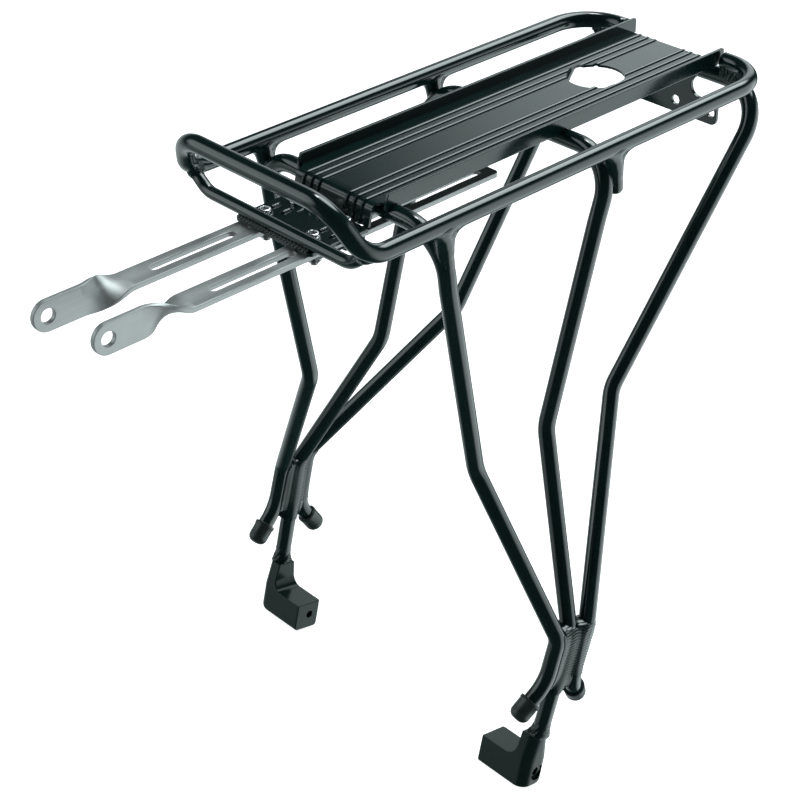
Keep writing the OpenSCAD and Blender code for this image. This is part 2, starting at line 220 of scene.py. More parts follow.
def steel(name, dark, light, rough, stretch=(18, 900, 900), bump=0.05, metal=1.0):
    """Brushed stainless steel, with the grain along X."""
    m, n, l = new_material(name)
    out = n.new("ShaderNodeOutputMaterial")
    b = n.new("ShaderNodeBsdfPrincipled")
    tc = n.new("ShaderNodeTexCoord")
    mp = n.new("ShaderNodeMapping")
    mp.inputs["Scale"].default_value = stretch
    l.new(tc.outputs["Object"], mp.inputs["Vector"])
    grain = noise(n, l, mp.outputs[0], 1.0, 5.0, 0.7)
    broad = noise(n, l, tc.outputs["Object"], 45.0, 3.0)
    mixed = n.new("ShaderNodeMath")
    mixed.operation = "MULTIPLY_ADD"
    mixed.inputs[1].default_value = 0.45
    l.new(grain, mixed.inputs[0])
    scaled = n.new("ShaderNodeMath")
    scaled.operation = "MULTIPLY"
    scaled.inputs[1].default_value = 0.55
    l.new(broad, scaled.inputs[0])
    l.new(scaled.outputs[0], mixed.inputs[2])
    l.new(ramp(n, l, mixed.outputs[0], [(0.3, dark), (0.7, light)]), b.inputs["Base Color"])
    l.new(ramp(n, l, mixed.outputs[0], [(0.3, (rough[0],)), (0.7, (rough[1],))]), b.inputs["Roughness"])
    bp = n.new("ShaderNodeBump")
    bp.inputs["Strength"].default_value = bump
    bp.inputs["Distance"].default_value = 0.0002
    l.new(grain, bp.inputs["Height"])
    l.new(bp.outputs[0], b.inputs["Normal"])
    b.inputs["Metallic"].default_value = metal
    b.inputs["Anisotropic"].default_value = 0.35
    l.new(b.outputs[0], out.inputs[0])
    return m


# the last colour given to each paint is the lighter colour of its sharp edges, partly wear and partly a painted
# edge highlight
MATS = {
    "frame_paint": paint(
        "frame_paint", (0.0018, 0.0078, 0.0072), (0.003, 0.0108, 0.0102), (0.09, 0.15), 0.018,
        (0.03, 0.045, 0.043)),
    "deck_paint": paint(
        "deck_paint", (0.0022, 0.0085, 0.0085), (0.0036, 0.0125, 0.0125), (0.12, 0.18), 0.009,
        (0.04, 0.055, 0.055), shine=0.41),
    "foot_paint": paint(
        "foot_paint", (0.0028, 0.0098, 0.0085), (0.005, 0.0145, 0.0125), (0.18, 0.27), 0.012,
        (0.05, 0.065, 0.06), shine=0.13),
    "cap": paint(
        "cap", (0.0058, 0.0125, 0.0115), (0.0095, 0.0185, 0.017), (0.36, 0.46), 0.08, (0.06, 0.07, 0.07),
        grain=1400.0, shine=0.38),
    "stay_steel": steel("stay_steel", (0.21, 0.22, 0.22), (0.29, 0.3, 0.3), (0.36, 0.48), metal=0.6),
    "fastener": steel(
        "fastener", (0.5, 0.52, 0.52), (0.7, 0.72, 0.72), (0.18, 0.3), stretch=(300, 300, 300)),
}


# ---------------------------------------------------------------- mesh builders
def skin(bm, rings, caps=True):
    """Faces between closed rings of vertices, and across the two ends."""
    n = len(rings[0])
    for a, c in zip(rings, rings[1:]):
        for j in range(n):
            bm.faces.new((a[j], a[(j + 1) % n], c[(j + 1) % n], c[j]))
    if caps:
        bm.faces.new(rings[0][::-1])
        bm.faces.new(rings[-1])


def frames_along(line):
    """Tangent and two normals at each point, carried along without twist."""
    tangents = np.gradient(line, axis=0)
    tangents /= np.linalg.norm(tangents, axis=1)[:, None]
    ref = np.array([0.0, 0, 1]) if abs(tangents[0][2]) < 0.9 else np.array([1.0, 0, 0])
    n = np.cross(ref, tangents[0])
    n /= np.linalg.norm(n)
    normals = []
    for t in tangents:
        n = n - t * (n @ t)
        n /= np.linalg.norm(n)
        normals.append(n.copy())
    normals = np.array(normals)
    return tangents, normals, np.cross(tangents, normals)


def tube_mesh(line, radius, inner, segs=48):
    """Round tube along a line, hollow for the first stretch at each end, in millimetres."""
    hollow, edge = 9, 0.3
    t, n, b = frames_along(line)
    ang = np.linspace(0, 2 * math.pi, segs, endpoint=False)
    circle = np.stack([np.cos(ang), np.sin(ang)], 1)

    def ring(i, r, shift=0.0):
        return line[i] + t[i] * shift + r * (circle[:, :1] * n[i] + circle[:, 1:] * b[i])

    rings = [ring(0, inner * 0.6, hollow), ring(0, inner, hollow), ring(0, inner, edge), ring(0, inner + edge),
             ring(0, radius - edge), ring(0, radius, edge)]
    for i in range(1, len(line) - 1):
        rings.append(ring(i, radius))
    k = len(line) - 1
    rings += [ring(k, radius, -edge), ring(k, radius - edge), ring(k, inner + edge), ring(k, inner, -edge),
              ring(k, inner, -hollow), ring(k, inner * 0.6, -hollow)]
    bm = bmesh.new()
    grid = [[bm.verts.new(Vector(v * MM)) for v in r] for r in rings]
    skin(bm, grid)
    return bm


def lathe(profile, origin, axis, segs=48, warp=None):
    """Closed solid turned from (radius, height) pairs about an axis."""
    d = Vector(axis).normalized()
    rot = d.to_track_quat("Z", "Y").to_matrix()
    bm = bmesh.new()
    grid = []
    for k, (r, h) in enumerate(profile):
        row = []
        for j in range(segs):
            a = 2 * math.pi * j / segs
            rr = warp(k, a, r) if warp else r
            spoke = rot @ Vector((rr * math.cos(a), rr * math.sin(a), h))
            row.append(bm.verts.new((Vector(origin) + spoke) * MM))
        grid.append(row)
    skin(bm, grid)
    bmesh.ops.recalc_face_normals(bm, faces=bm.faces)
    return bm


def settle(ob):
    """Flat faces stay flat beside rounded edges."""
    mod = ob.modifiers.new("normals", "WEIGHTED_NORMAL")
    mod.keep_sharp = True
    return ob


def plate(name, outlines, thickness, matrix, body, slot, replaced=(), edge=0.35, sharp=40, cut=None):
    """Flat plate with rounded edges from closed outlines, the first outside and the rest holes.

    cut is (x, direction): what lies beyond x on that side is taken off and left open.
    """
    cu = bpy.data.curves.new(name, "CURVE")
    cu.dimensions = "2D"
    cu.fill_mode = "BOTH"
    for pts in outlines:
        s = cu.splines.new("POLY")
        s.points.add(len(pts) - 1)
        for q, (x, y) in zip(s.points, pts):
            q.co = (x, y, 0, 1)
        s.use_cyclic_u = True
    cu.extrude = thickness / 2 - edge
    cu.bevel_depth = edge
    cu.bevel_resolution = 2
    cu.offset = -edge
    tmp = bpy.data.objects.new(name + "_tmp", cu)
    bpy.context.scene.collection.objects.link(tmp)
    bpy.context.view_layer.update()
    me = bpy.data.meshes.new_from_object(tmp.evaluated_get(bpy.context.evaluated_depsgraph_get()))
    bpy.data.objects.remove(tmp)
    bpy.data.curves.remove(cu)
    bm = bmesh.new()
    bm.from_mesh(me)
    bpy.data.meshes.remove(me)
    bmesh.ops.remove_doubles(bm, verts=bm.verts, dist=1e-4)
    bmesh.ops.transform(bm, matrix=Matrix.Scale(MM, 4) @ matrix, verts=bm.verts)
    if matrix.determinant() < 0:
        bmesh.ops.reverse_faces(bm, faces=bm.faces)
    bmesh.ops.recalc_face_normals(bm, faces=bm.faces)
    if cut:
        everything = bm.verts[:] + bm.edges[:] + bm.faces[:]
        bmesh.ops.bisect_plane(bm, geom=everything, dist=1e-6, plane_co=(cut[0] * MM, 0, 0),
                               plane_no=(cut[1], 0, 0), clear_outer=True)
    return settle(add(name, bm, body, slot, replaced, sharp=sharp))


def bore(ob, cutters, segments=64):
    """Cut cylinders out of an object's own mesh, each (matrix, radius, length) with only the last two in mm."""
    tool = bpy.data.objects.new("bore_tool", bpy.data.meshes.new("bore_tool"))
    bpy.context.scene.collection.objects.link(tool)
    for matrix, radius, length in cutters:
        bm = bmesh.new()
        bmesh.ops.create_cone(bm, cap_ends=True, segments=segments, radius1=radius * MM, radius2=radius * MM,
                              depth=length * MM, matrix=matrix)
        bm.to_mesh(tool.data)
        bm.free()
        mod = ob.modifiers.new("bore", "BOOLEAN")
        mod.operation = "DIFFERENCE"
        mod.object = tool
        mod.solver = "EXACT"
        bpy.context.view_layer.update()
        done = bpy.data.meshes.new_from_object(ob.evaluated_get(bpy.context.evaluated_depsgraph_get()))
        ob.modifiers.clear()
        ob.data = done
    bpy.data.objects.remove(tool)


def arc(cx, cy, r, a0, a1, n=10):
    turns = [math.radians(a0 + (a1 - a0) * i / n) for i in range(n + 1)]
    return [(cx + r * math.cos(t), cy + r * math.sin(t)) for t in turns]


def rounded(x0, y0, x1, y1, r, n=8):
    return (arc(x1 - r, y1 - r, r, 0, 90, n) + arc(x0 + r, y1 - r, r, 90, 180, n)
            + arc(x0 + r, y0 + r, r, 180, 270, n) + arc(x1 - r, y0 + r, r, 270, 360, n))


def circle(cx, cy, r, n=40):
    return arc(cx, cy, r, 360, 0, n)[:-1]


def slot_outline(x0, x1, w, n=12):
    r = w / 2
    return arc(x1 - r, 0, r, 90, -90, n) + arc(x0 + r, 0, r, 270, 90, n)


# ---------------------------------------------------------------- distance fields, for the weld fillets
def near_field(points, radii, radius, centre, reach):
    """The part of a tube's field near one point, which is all a weld there needs."""
    line = route(points, radii, 5.0, 12.0)
    c = np.array(centre, float)
    keep = [(a, b) for a, b in zip(line, line[1:])
            if min(np.linalg.norm(a - c), np.linalg.norm(b - c)) < reach]

    def f(q):
        best = np.full(q.shape[:-1], 1e9)
        for a, b in keep:
            ab = b - a
            t = np.clip(((q - a) @ ab) / (ab @ ab), 0, 1)
            d = q - a - t[..., None] * ab
            best = np.minimum(best, np.sqrt((d * d).sum(-1)))
        return best - radius

    return f


def box_field(centre, half, rot=None, soft=0.0):
    """Distance from a box grown by soft, with rot as its axes in columns."""
    c = np.array(centre, float)
    h = np.array(half, float)
    r = np.eye(3) if rot is None else np.array(rot, float)

    def f(q):
        d = np.abs((q - c) @ r) - h
        return np.sqrt((np.maximum(d, 0) ** 2).sum(-1)) + np.minimum(d.max(-1), 0) - soft

    return f


def weld(name, fields, a, b, k, reach, ripple=0.0, pitch=1.7, chevron=0.6, crinkle=0.0, rows=60, segs=72,
         replaced=(), face=None, fat=0.0):
    """Weld bead between fields, found by marching outwards from the line a-b to the blended surface.

    k is the blend's width and reach the longest way out. Ripples have a height, a pitch and a sweep, and
    with a face they fade towards the bead's edges. A pair of fields in a tuple is joined without a blend.
    """
    sink = 0.12
    a = np.array(a, float)
    b = np.array(b, float)
    d = b - a
    length = np.linalg.norm(d)
    d /= length
    ref = np.array(face if face else ((0, 0, 1) if abs(d[2]) < 0.9 else (1, 0, 0)), float)
    n = ref - d * (ref @ d)
    n /= np.linalg.norm(n)
    m = np.cross(d, n)
    h = np.linspace(0, length, rows)
    ang = np.linspace(0, 2 * math.pi, segs, endpoint=False)
    rad = n[None] * np.cos(ang)[:, None] + m[None] * np.sin(ang)[:, None]
    offset = np.full((rows, segs), sink)
    side = np.abs(np.sin(ang))[None, :]
    if ripple:
        # stacked crescents along the bead, swept back at its sides
        phase = (h[:, None] - chevron * 5 * side ** 2) / pitch
        front = np.clip((np.abs(rad @ n) + 0.25) / 0.6, 0, 1)[None, :] if face else 1.0
        offset = offset + ripple * front * (0.6 - np.abs(np.sin(math.pi * phase)))
    if crinkle:
        wave = np.sin(h[:, None] * 2.9 + 3 * np.sin(ang * 3)[None])
        offset = offset + crinkle * (wave * np.cos(ang * 5 + h[:, None] * 1.7))
    # the ends of the bead sink into the metal
    fade = np.clip(np.minimum(h, length - h) / 2.2, 0, 1)
    offset = offset + ((1 - fade) ** 2 * (0.9 + fat))[:, None]
    line = a + d * h[:, None, None]

    def blended(r):
        q = line + rad[None] * r[:, :, None]
        val = None
        for f in fields:
            v = f(q) if callable(f) else np.minimum(f[0](q), f[1](q))
            if val is None:
                val = v - fat
            else:
                g = np.maximum(k - np.abs(val - v), 0) / k
                val = np.minimum(val, v) - g * g * k / 4
        return val + offset

    low = np.full((rows, segs), 0.03)
    high = np.full((rows, segs), float(reach))
    found = blended(low) > 0
    high[found] = 0.03
    for step in np.arange(0.45, reach + 0.4, 0.45):
        rr = np.where(found, high, min(step, reach))
        crossed = (~found) & (blended(rr) > 0)
        high[crossed] = rr[crossed]
        low[~found & ~crossed] = rr[~found & ~crossed]
        found = found | crossed
    for _ in range(6):
        mid = (low + high) / 2
        out = blended(mid) > 0
        high = np.where(out, mid, high)
        low = np.where(out, low, mid)
    r = np.maximum((low + high) / 2, 0.04)
    pts = a + d * h[:, None, None] + rad[None] * r[:, :, None]
    proud = np.maximum(np.abs(pts[..., 1]) - WELD_Y, 0)
    pts[..., 1] -= np.sign(pts[..., 1]) * proud * 0.55
    bm = bmesh.new()
    grid = [[bm.verts.new(Vector(v * MM)) for v in row] for row in pts]
    skin(bm, grid)
    bmesh.ops.recalc_face_normals(bm, faces=bm.faces)
    return add(name, bm, "frame", "frame_paint", replaced, sharp=180)


# ---------------------------------------------------------------- tubes
def full_radii(r):
    """Bend radii of a whole tube from those of its half."""
    return list(r)[::-1] + list(r)


TUBES = {
    "rail_loop": (RAIL, RAIL_R, TUBE_R, TUBE_BORE),
    "front_cross_tube": (CROSS, CROSS_R, CROSS_TUBE_R, CROSS_TUBE_BORE),
    "front_leg_tube": (FRONT, FRONT_R, TUBE_R, TUBE_BORE),
    "middle_leg_tube": (MID, MID_R, TUBE_R, TUBE_BORE),
    "rear_leg_tube": (REAR, REAR_R, TUBE_R, TUBE_BORE),
}
for tube_name, (pts, radii, outer_r, bore_r) in TUBES.items():
    line = route(whole(pts), full_radii(radii))
    add(tube_name + "_skin", tube_mesh(line, outer_r, bore_r), "frame", "frame_paint", (tube_name,), sharp=50)


# ---------------------------------------------------------------- deck
def deck_sheet():
    """Sheet with ribs pressed up by 1 mm, and with its front edge bent down into a narrower skirt."""
    bend_r, bend_x, bend = 2.5, -34.7, 75
    skirt_half, skirt_len = 29.7, 9.1
    rib_half, groove_half, groove_deep = 1.55, 1.2, 0.85
    ribs = [s * r for s in (-1, 1) for r in DECK_RIBS]
    ys = sorted(set([round(v, 3) for v in np.arange(-DECK_HALF, DECK_HALF + 0.01, 3.0)]
                    + [round(middle + o, 3) for middle in ribs for o in np.arange(-1.6, 1.61, 0.2)]
                    + [-32.6, 32.6, -skirt_half, skirt_half]))
    ys = [y for y in ys if abs(y) <= DECK_HALF]

    def rib(y, width):
        best = 0.0
        for middle in ribs:
            u = abs(y - middle) / width
            if u < 1:
                best = max(best, 1.0 - u ** 2)
        return best

    # the lower face from the rear edge forwards, as (x, z) and the way to the upper face
    stations = [((x, DECK_Z), (0.0, 1.0)) for x in [233, 232.4, 231.6] + list(np.linspace(230.5, bend_x, 60))]
    for k in range(1, 15):
        a = math.radians(bend * k / 14)
        nrm = (-math.sin(a), math.cos(a))
        stations.append(((bend_x + bend_r * nrm[0], DECK_Z - bend_r + bend_r * nrm[1]), nrm))
    nrm = (-math.sin(math.radians(bend)), math.cos(math.radians(bend)))
    tan = (-math.cos(math.radians(bend)), -math.sin(math.radians(bend)))
    ox, oz = stations[-1][0]
    for k in range(1, 7):
        stations.append(((ox + tan[0] * skirt_len * k / 6, oz + tan[1] * skirt_len * k / 6), nrm))
    bm = bmesh.new()
    top, low = [], []
    for (x, z), (nx, nz) in stations:
        half = DECK_HALF if x > -33.5 else skirt_half
        rt, rl = [], []
        for y in ys:
            yy = max(-half, min(half, y))
            ends = min(1.0, (234.5 - x) / 3.0)
            up = DECK_T + rib(yy, rib_half) * ends
            dn = groove_deep * rib(yy, groove_half) * ends
            rt.append(bm.verts.new(Vector((x + nx * up, yy, z + nz * up)) * MM))
            rl.append(bm.verts.new(Vector((x + nx * dn, yy, z + nz * dn)) * MM))
        top.append(rt)
        low.append(rl)
    for grid, turn in ((top, False), (low, True)):
        for a, c in zip(grid, grid[1:]):
            for j in range(len(ys) - 1):
                f = (a[j], a[j + 1], c[j + 1], c[j])
                bm.faces.new(f if turn else f[::-1])
    for j in range(len(ys) - 1):
        bm.faces.new((top[0][j], top[0][j + 1], low[0][j + 1], low[0][j]))
        bm.faces.new((top[-1][j + 1], top[-1][j], low[-1][j], low[-1][j + 1]))
    for i in range(len(stations) - 1):
        bm.faces.new((top[i][0], low[i][0], low[i + 1][0], top[i + 1][0]))
        bm.faces.new((top[i + 1][-1], low[i + 1][-1], low[i][-1], top[i][-1]))
    bmesh.ops.remove_doubles(bm, verts=bm.verts, dist=1e-6)
    bmesh.ops.recalc_face_normals(bm, faces=bm.faces)
    return bm


deck = add("deck_sheet", deck_sheet(), "frame", "deck_paint", ("deck",), sharp=38)
bore(deck, [(Matrix.Translation((0.166, 0, 0.356)), 17, 30)], segments=96)
deck.data.set_sharp_from_angle(angle=math.radians(38))


def xz_plate(x, y, z):
    """Matrix that stands a plate upright along the rack."""
    return Matrix(((1, 0, 0, x), (0, 0, -1, y), (0, 1, 0, z), (0, 0, 0, 1)))


def yz_plate(x):
    """Matrix that stands a plate upright across the rack."""
    return Matrix(((0, 0, 1, x), (1, 0, 0, 0), (0, 1, 0, 0), (0, 0, 0, 1)))


def notch(x):
    """Cut in a flange's lower edge, over a leg tube's bar."""
    turns = [math.radians(t) for t in np.linspace(-53.4, 53.4, 9)]
    return [(x + 5.2 * math.sin(t), BAR_Z + 5.2 * math.cos(t)) for t in turns]


# side flanges: cut front corner and rounded rear corner
low_z, top_z = 353.5, 362.8
flange = ([(-33, low_z), (-33, top_z - 5), (-31, top_z)] + arc(239.5, top_z - 1.5, 1.5, 90, 0, 6)
          + [(241, low_z)] + notch(BAR_X["middle"])[::-1] + notch(BAR_X["front"])[::-1])
for side, s in SIDES.items():
    plate(side + "_deck_flange", [flange], 2.0, xz_plate(0, s * 34.0, 0), "frame", "deck_paint", edge=0.45)


# ---------------------------------------------------------------- plates
lamp = ([(-32, 314.5)] + arc(-28, 314.5, 4, 180, 270, 8)[1:] + arc(28, 314.5, 4, 270, 360, 8)
        + arc(28, 321.5, 4, 0, 90, 8) + arc(17.8, 332, 6.5, 270, 126, 16) + [(14, 349), (-14, 349)]
        + arc(-17.8, 332, 6.5, 54, -90, 16) + arc(-28, 321.5, 4, 90, 180, 8))
lamp_holes = [circle(y, 318.5, 3.0) for y in (-27.4, 0, 27.4)]
plate("light_bracket_skin", [lamp] + lamp_holes, LAMP_T, yz_plate(LAMP_X), "frame", "frame_paint",
      ("light_bracket",), edge=0.4)

bracket = arc(-78, -27, 3, 180, 270, 6) + [(-41.2, -30), (-41.2, 30)] + arc(-78, 27, 3, 90, 180, 6)
bracket_holes = [circle(x, y, 2.6, 24) for x in BOLT_X for y in (-ARM_Y, ARM_Y)]
plate("stay_bracket_skin", [bracket] + bracket_holes, PLATE_T, Matrix.Translation((0, 0, PLATE_Z)), "frame",
      "frame_paint", ("stay_bracket",), edge=0.35)
clamp = [rounded(-76, -8, -40, 8, 1.2)] + [circle(x, 0, 2.55, 24) for x in BOLT_X]
for side, s in SIDES.items():
    plate(side + "_clamp_plate_skin", clamp, 1.6, Matrix.Translation((0, s * ARM_Y, 338.3)), "frame",
          "frame_paint", (side + "_clamp_plate",), edge=0.3)


# ---------------------------------------------------------------- stay arms
def arm_twist(s, shift):
    """Quarter turn between an arm's flat strip and its upright tip."""
    half_t, e, rows = ARM_T / 2, 0.45, 48
    sec = []
    for cx, cy, a0 in ((ARM_HALF - e, half_t - e, 0), (-ARM_HALF + e, half_t - e, 90),
                       (-ARM_HALF + e, -half_t + e, 180), (ARM_HALF - e, -half_t + e, 270)):
        turns = [math.radians(a0 + t) for t in (0, 30, 60, 90)]
        sec += [(cx + e * math.cos(t), cy + e * math.sin(t)) for t in turns]
    bm = bmesh.new()
    grid = []
    for i in range(rows + 1):
        u = i / rows
        turn = s * math.radians(90) * (u * u * (3 - 2 * u))
        x = TWIST_FROM + (TWIST_TO - TWIST_FROM) * u + shift
        row = []
        for w, h in sec:
            y = w * math.cos(turn) - h * math.sin(turn)
            z = w * math.sin(turn) + h * math.cos(turn)
            row.append(bm.verts.new(Vector((x, s * ARM_Y + y, ARM_Z + z)) * MM))
        grid.append(row)
    skin(bm, grid, caps=False)
    bmesh.ops.recalc_face_normals(bm, faces=bm.faces)
    return bm


flat = ([(TWIST_FROM - 3, -ARM_HALF)] + arc(51, -5.6, 3, 270, 360, 6) + arc(51, 5.6, 3, 0, 90, 6)
        + [(TWIST_FROM - 3, ARM_HALF)])
slots = [slot_outline(-140.5, -85.5, SLOT_W), slot_outline(-77, 47, SLOT_W)]
tip = [(TWIST_TO + 3, -ARM_HALF), (TWIST_TO + 3, ARM_HALF)] + arc(TIP_X, 0, ARM_HALF, 90, 270, 28)
for side, s in SIDES.items():
    shift = 4 if side == "left" else -4
    body = side + "_stay"
    plate(side + "_stay_arm_skin", [flat] + slots, ARM_T, Matrix.Translation((shift, s * ARM_Y, ARM_Z)), body,
          "stay_steel", (side + "_stay_arm",), edge=0.45, cut=(TWIST_FROM + shift, -1))
    add(side + "_stay_arm_twist", arm_twist(s, shift), body, "stay_steel", sharp=180)
    plate(side + "_stay_arm_tip", [tip[::-1], circle(TIP_X, 0, 4.0)], ARM_T, xz_plate(shift, s * ARM_Y, ARM_Z),
          body, "stay_steel", edge=0.45, cut=(TWIST_TO + shift, 1))


# ---------------------------------------------------------------- fasteners
def hexagon(a, flat):
    """Distance from a hexagon's middle to its side in direction a."""
    sector = (a + math.pi / 6) % (math.pi / 3) - math.pi / 6
    return flat / math.cos(sector)


def bolt_head(x, y):
    """Round head with a hexagon socket."""
    prof = [(0.01, 0.0), (3.9, 0.0), (4.0, 0.12), (4.0, 1.2), (3.85, 1.9), (3.4, 2.6), (2.9, 3.0), (2.45, 3.15),
            (2.25, 3.1), (2.2, 2.9), (2.2, 0.9), (0.01, 0.7)]

    def hexed(k, a, r):
        return hexagon(a, r * 0.93) if k in (9, 10) else r

    return lathe(prof, (x, y, 346.06), (0, 0, 1), 48, hexed)


def shank(x, y):
    """Threaded shank, its thread drawn as rings."""
    prof = [(0.01, 0), (2.0, 0), (2.4, 0.5)]
    for i in range(24):
        prof += [(2.42, 0.5 + i * 0.6), (2.2, 0.8 + i * 0.6)]
    prof += [(2.42, 15.0), (2.42, 15.4), (0.01, 15.4)]
    return lathe(prof, (x, y, 331), (0, 0, 1), 24)


def washer(x, y):
    prof = [(2.55, 0.1), (2.65, 0), (4.05, 0), (4.2, 0.15), (4.2, 0.85), (4.05, 1.0), (2.65, 1.0), (2.55, 0.9)]
    return lathe(prof, (x, y, 344.98), (0, 0, 1), 40)


def nut(x, y):
    prof = [(2.55, 0.0), (4.0, 0.0), (4.6, 0.5), (4.6, 3.5), (4.0, 4.0), (2.55, 4.0)]

    def hexed(k, a, r):
        return min(r, hexagon(a, 3.98)) if 1 <= k <= 4 else r

    return lathe(prof, (x, y, 333.42), (0, 0, 1), 72, hexed)


def join(parts):
    """One mesh from several."""
    out = bmesh.new()
    for p in parts:
        tmp = bpy.data.meshes.new("tmp")
        p.to_mesh(tmp)
        p.free()
        out.from_mesh(tmp)
        bpy.data.meshes.remove(tmp)
    return out


for side, s in SIDES.items():
    y = s * ARM_Y
    stay = side + "_stay_"
    bolts = [bolt_head(x, y) for x in BOLT_X] + [shank(x, y) for x in BOLT_X]
    washers = [washer(x, y) for x in BOLT_X]
    nuts = [nut(x, y) for x in BOLT_X]
    add(stay + "bolts_skin", join(bolts), "frame", "fastener", (stay + "bolts",), sharp=40)
    add(stay + "washers_skin", join(washers), "frame", "fastener", (stay + "washers",), sharp=40)
    add(stay + "nuts_skin", join(nuts), "frame", "fastener", (stay + "nuts",), sharp=30)


# ---------------------------------------------------------------- end caps
def cap(name, a, b, lip, grooved):
    """Cap on the end b of a tube that comes from a, with a lip round its mouth."""
    a = Vector(a)
    b = Vector(b)
    d = (b - a).normalized()
    r = 6.25
    prof = [(5.08, 0.0), (r + lip - 0.25, 0.0), (r + lip, 0.3), (r + lip, 1.9), (r + lip * 0.4, 2.3), (r, 2.6),
            (r, 9.3)]
    prof += [(r - 4.5 + 4.5 * math.cos(t), 9.5 + 4.5 * math.sin(t)) for t in np.linspace(0.1, math.pi / 2, 12)]
    prof += [(1.6, 14.0), (1.4, 13.8), (0.01, 13.8)]

    def grip(k, ang, rr):
        return rr - (0.12 if grooved and 5 <= k <= 6 and (math.degrees(ang) % 30) < 8 else 0)

    return add(name + "_skin", lathe(prof, b - 12 * d, d, 72, grip), "frame", "cap", (name,), sharp=45)


for side, s in SIDES.items():
    f = sided(FRONT, s)
    r = sided(REAR, s)
    cap(side + "_front_cap", f[4], f[5], 0.4, True)
    cap(side + "_rear_cap", r[4], r[5], 0.25, False)


# ---------------------------------------------------------------- feet
FOOT_SOFT, FOOT_BIG = 0.7, 6.5      # radii of a foot's small edges and of its two outer corners
FOOT_FILLET = 7                     # between the foot's block and its upright plate


def foot_section(z):
    """Plan limits of a foot at height z above its bolt: fore, aft, inner and outer."""
    under, heel, soft = 2.5, 4, FOOT_SOFT
    fore, aft, inner, outer = -11.0, 7.7, FOOT_IN, FOOT_OUT
    if z > FOOT_BLOCK:
        u = (z - FOOT_BLOCK) / (FOOT_HIGH - FOOT_BLOCK)
        fore, aft = fore + 2.8 * u, aft - 2.9 * u
        rise = max(0.0, FOOT_BLOCK + FOOT_FILLET - z)
        inner = 103.5 + math.sqrt(max(0.0, FOOT_FILLET ** 2 - rise ** 2))
    if z < FOOT_LOW + under:
        d = under - math.sqrt(max(0.0, under ** 2 - (FOOT_LOW + under - z) ** 2))
        fore, aft = fore + d, aft - d
    if z < FOOT_LOW + heel:
        outer = FOOT_OUT - heel + math.sqrt(max(0.0, heel ** 2 - (FOOT_LOW + heel - z) ** 2))
    near = min(z - FOOT_LOW, abs(FOOT_BLOCK - z) if z <= FOOT_BLOCK else soft)
    if near < soft:
        inner += soft - math.sqrt(soft ** 2 - (soft - near) ** 2)
    if FOOT_HIGH - z < soft:
        d = soft - math.sqrt(max(0.0, soft ** 2 - (soft - FOOT_HIGH + z) ** 2))
        fore, aft, inner, outer = fore + d, aft - d, inner + d, outer - d
    return fore, aft, inner, outer


def foot_ring(z, limits):
    """Plan outline of a foot at height z."""
    fore, aft, inner, outer = limits
    soft = FOOT_SOFT
    big = min(FOOT_BIG, (aft - fore) / 2 - 0.01)
    ring = []
    for cx, cy, r, a0 in ((aft - big, outer - big, big, 0), (fore + big, outer - big, big, 90),
                          (fore + soft, inner + soft, soft, 180), (aft - soft, inner + soft, soft, 270)):
        ring += [(x, y, z) for x, y in arc(cx, cy, r, a0, a0 + 90, 16 if r > 1 else 4)]
    return ring


def foot_mesh(s):
    """Foot built up from plan outlines and leaned back."""
    soft = FOOT_SOFT
    heights = [FOOT_LOW + 4 * (1 - math.cos(math.radians(t))) for t in np.linspace(0, 90, 14)] + [-2.0, 2.0, 6.0]
    heights += [FOOT_BLOCK - soft * (1 - math.sin(math.radians(t))) for t in (0, 22, 45, 67, 90)]
    heights += [FOOT_BLOCK + FOOT_FILLET * (1 - math.cos(math.radians(t))) for t in np.linspace(6, 90, 12)] + [20.5]
    heights += [FOOT_HIGH - soft * (1 - math.sin(math.radians(t))) for t in (0, 22, 45, 67, 90)]
    bm = bmesh.new()
    rings = []
    lean = Matrix.Rotation(math.radians(FOOT_LEAN), 4, "Y")
    for z in heights:
        made = []
        for point in foot_ring(z, foot_section(z)):
            v = lean @ Vector(point)
            made.append(bm.verts.new(Vector((v.x, v.y * s, v.z)) * MM))
        rings.append(made)
    skin(bm, rings)
    bmesh.ops.recalc_face_normals(bm, faces=bm.faces)
    return bm


across = Vector((0, 1, 0)).to_track_quat("Z", "Y").to_matrix().to_4x4()
for side, s in SIDES.items():
    foot = add(side + "_foot_skin", foot_mesh(s), "frame", "foot_paint", (side + "_foot",), sharp=35)
    bore(foot, [(Matrix.Translation(Vector((0, s * y, 0)) * MM) @ across, radius, length)
                for y, radius, length in ((103, 2.6, 60), (FOOT_OUT, 5.2, 4))])
    foot.data.set_sharp_from_angle(angle=math.radians(35))
    settle(foot)


